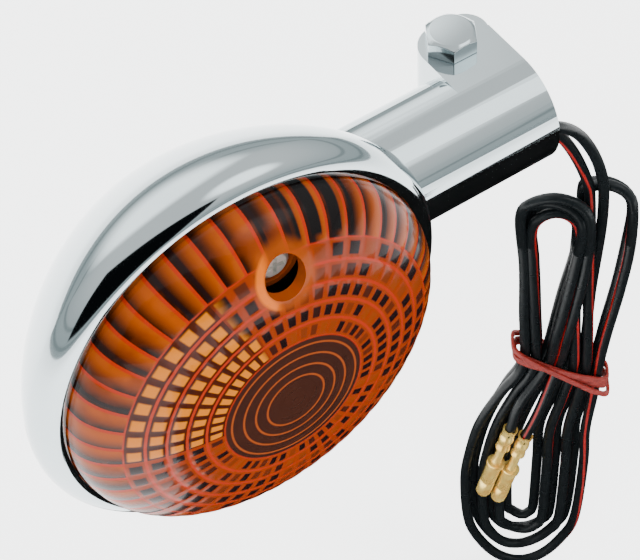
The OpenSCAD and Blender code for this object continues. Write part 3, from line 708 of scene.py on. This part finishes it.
zinc = plain("zinc_plate", (0.55, 0.55, 0.51), (0.8, 0.79, 0.74), 300, 0.25, Metallic=0.8)
silver = plain("reflector_silver", (0.75, 0.76, 0.77), (0.9, 0.9, 0.9), 120, 0.12, Metallic=1.0)
spring_wire = plain("spring_steel", (0.3, 0.3, 0.3), (0.5, 0.5, 0.5), 500, 0.3, Metallic=1.0)
seal = plain("black_rubber", (0.012, 0.012, 0.012), (0.03, 0.03, 0.03), 600, 0.6)
fibre = plain("brown_fibre", (0.09, 0.035, 0.015), (0.2, 0.09, 0.04), 900, 0.6)
solder = plain("solder", (0.5, 0.5, 0.5), (0.7, 0.7, 0.7), 800, 0.35, Metallic=1.0)
tungsten = plain("tungsten", (0.2, 0.2, 0.2), (0.35, 0.35, 0.34), 2000, 0.4, Metallic=1.0)
glass = plain("clear_glass", (0.93, 0.95, 0.95), (1, 1, 1), 60, 0.0, Transmission_Weight=1.0, IOR=1.5)
for finish, names in {
        zinc: ("stem_screws", "reflector_screws", "socket_shell", "socket_rivets", "lens_screw",
               "bulb_base"),
        silver: ("reflector",), spring_wire: ("contact_spring",),
        seal: ("lens_gasket", "stem_grommet", "inner_lead_black"),
        fibre: ("socket_insulator", "contact_plate"),
        brass: ("live_terminal", "contact_button"), solder: ("bulb_pip",), tungsten: ("bulb_filament",),
        glass: ("bulb_glass", "bulb_stem"),
        lead_finish("pvc_inner_live", False): ("inner_lead_tracer",)}.items():
    for name in names:
        nodes[name].data.materials.clear()
        nodes[name].data.materials.append(finish.material)

# ---------------------------------------------------------------- studio
# The signal hangs over a white floor in a light tent, whose opening is a dark patch in front.
# Black flags lie under the stem and on the floor, and one stands in front. The camera and
# diffuse light don't see them, and they cast no shadow: they are there for the chrome.
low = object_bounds()[0].z - 0.002


def sheet_of(name, corners, finish):
    """A flat piece of the studio with these corners."""
    mesh = bpy.data.meshes.new(name)
    mesh.from_pydata(corners, [], [tuple(range(len(corners)))])
    piece = bpy.data.objects.new(name, mesh)
    bpy.context.scene.collection.objects.link(piece)
    mesh.materials.append(finish.material)
    return piece


paper = Finish("white_paper", Roughness=0.8, Emission_Strength=2.0)
shade = paper.mix(paper.noise(5, 2), (0.93, 0.94, 0.94), (0.96, 0.96, 0.96))
paper.link("Base Color", shade)
paper.link("Emission Color", shade)
sheet_of("floor", [(-3, -3, low), (3, -3, low), (3, 3, low), (-3, 3, low)], paper)

velvet = Finish("black_velvet", Roughness=0.9, Specular_IOR_Level=0.0)
velvet.link("Base Color", velvet.mix(velvet.noise(50, 2), (0.001, 0.001, 0.001), (0.004, 0.004, 0.004)))
flag_low = -0.06
flags = [[(-0.03, front, flag_low), (0.09, front, flag_low), (0.09, back, flag_low), (-0.03, back, flag_low)]
         for front, back in ((-0.034, -0.017), (-0.013, 0.06))]
flags.append([(-0.12, -0.15, low), (0.03, -0.15, low), (0.03, -0.15, -0.03), (-0.12, -0.15, -0.03)])
flags += [[(left, front, low + MM), (0.25, front, low + MM), (0.25, back, low + MM), (left, back, low + MM)]
          for left, front, back in ((-0.1, -0.35, -0.14), (-0.1, -0.14, 0.13))]
for number, corners in enumerate(flags):
    flag = sheet_of(f"flag_{number}", corners, velvet)
    flag.visible_camera = False
    flag.visible_diffuse = False
    flag.visible_shadow = False


class Sky(Finish):
    """The light tent: its colour depends on the direction alone."""

    def __init__(self, name, strength):
        world = bpy.data.worlds.new(name)
        world.use_nodes = True
        bpy.context.scene.world = world
        self.tree = world.node_tree
        self.shader = self.tree.nodes["Background"]
        self.shader.inputs["Strength"].default_value = strength


tent = Sky("light_tent", 1.0)
view = tent.add("ShaderNodeTexCoord", out="Generated")
east, north, up = tent.parts(view)
cloth = tent.mix(up.step(0.0, 0.75), (0.62, 0.70, 0.71), (1.15, 1.17, 1.17))
seams = (1 - (up - 0.02).size().step(0.012, 0.03)) + (1 - (up - 0.2).size().step(0.01, 0.03))
cloth = tent.mix(seams * 0.6, cloth, (0.2, 0.25, 0.25))


def along_way(way):
    """How closely the seen direction follows this one."""
    return east * way.x + north * way.y + up * way.z


for way, edge, middle in ((Vector((-0.05, 0.8, 0.6)), 0.8, 0.96),
                          (Vector((0.42, -0.35, 0.84)), 0.93, 0.985)):
    box_glow = along_way(way.normalized()).step(edge, middle)
    cloth = tent.mix(box_glow, cloth, (3.2, 3.3, 3.3))
opening_way = Vector((-0.50, -0.69, 0.52)).normalized()
opening_side = opening_way.cross((0, 0, 1)).normalized()
opening_up = opening_side.cross(opening_way)
ahead = along_way(opening_way)
across = (along_way(opening_side) / ahead).size()
above = (along_way(opening_up) / ahead).size()
opening = (ahead > 0.0) * (1 - across.step(0.78, 0.84)) * (1 - above.step(0.44, 0.5))
tent.link("Color", tent.mix(opening, cloth, (0.004, 0.005, 0.006)))

for name, place, width, power in (("soft_box_behind", (-0.03, 0.87, 0.68), 0.85, 14),
                                  ("soft_box_above", (0.45, -0.35, 0.9), 0.45, 8),
                                  ("key", (-0.6, -0.7, 0.8), 0.7, 15)):
    light = bpy.data.objects.new(name, bpy.data.lights.new(name, "AREA"))
    light.data.size = width
    light.data.energy = power
    aim = Vector(place) - Vector((-0.05, 0, -0.03))
    light.visible_glossy = False       # the tent itself shows their glow
    light.matrix_world = Matrix.Translation(place) @ aim.to_track_quat("Z", "Y").to_matrix().to_4x4()
    bpy.context.scene.collection.objects.link(light)

bpy.context.view_layer.update()
